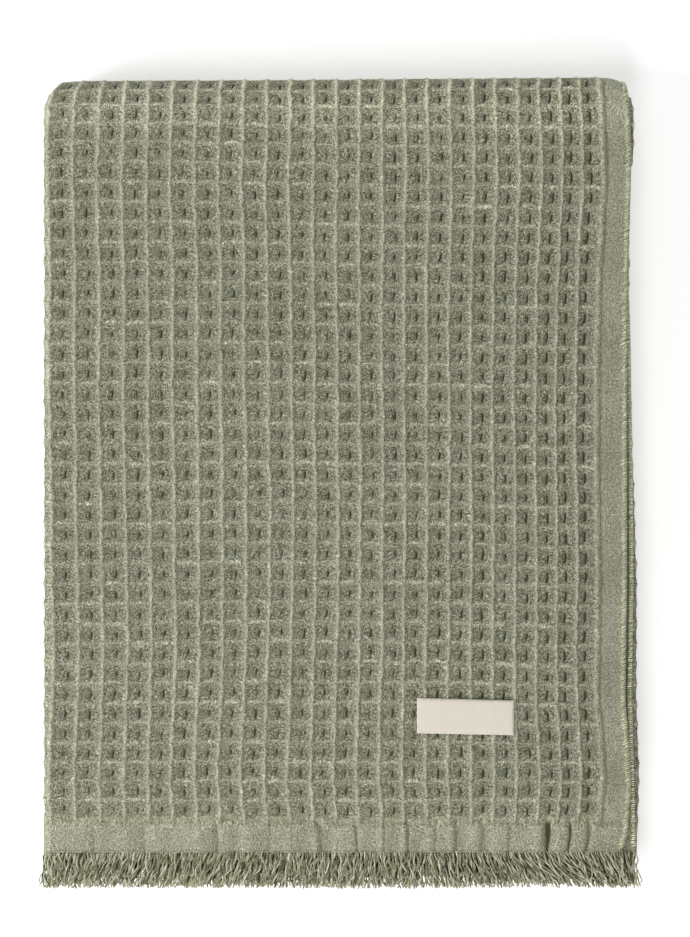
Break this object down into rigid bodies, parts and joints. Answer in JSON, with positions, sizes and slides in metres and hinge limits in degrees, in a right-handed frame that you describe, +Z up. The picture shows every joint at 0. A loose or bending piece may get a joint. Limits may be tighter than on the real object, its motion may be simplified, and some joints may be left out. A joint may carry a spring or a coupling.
{
  "type": "throw blanket",
  "caption": "Waffle-weave throw blanket folded flat in a thick rectangle, with plain-woven borders, a short loose fringe and a small bare woven label.",
  "frame": {"origin": "middle of the folded throw's footprint, on the surface that it lies on", "axes": "+Z up, +Y along the length of the folded throw, from its fringed side to its large fold, +X towards the selvedges"},
  "size_m": [0.3169, 0.4317, 0.0422],
  "materials": {
    "sage_cotton": "matte waffle-woven cotton, sage green",
    "sage_fringe_yarn": "matte loose cotton yarn, sage green",
    "label_tape": "matte woven tape, cream"
  },
  "bodies": {
    "root": {"throw_cloth": "sage_cotton", "fringe_upper_end": "sage_fringe_yarn", "fringe_lower_end": "sage_fringe_yarn", "label": "label_tape"}
  },
  "joints": []
}
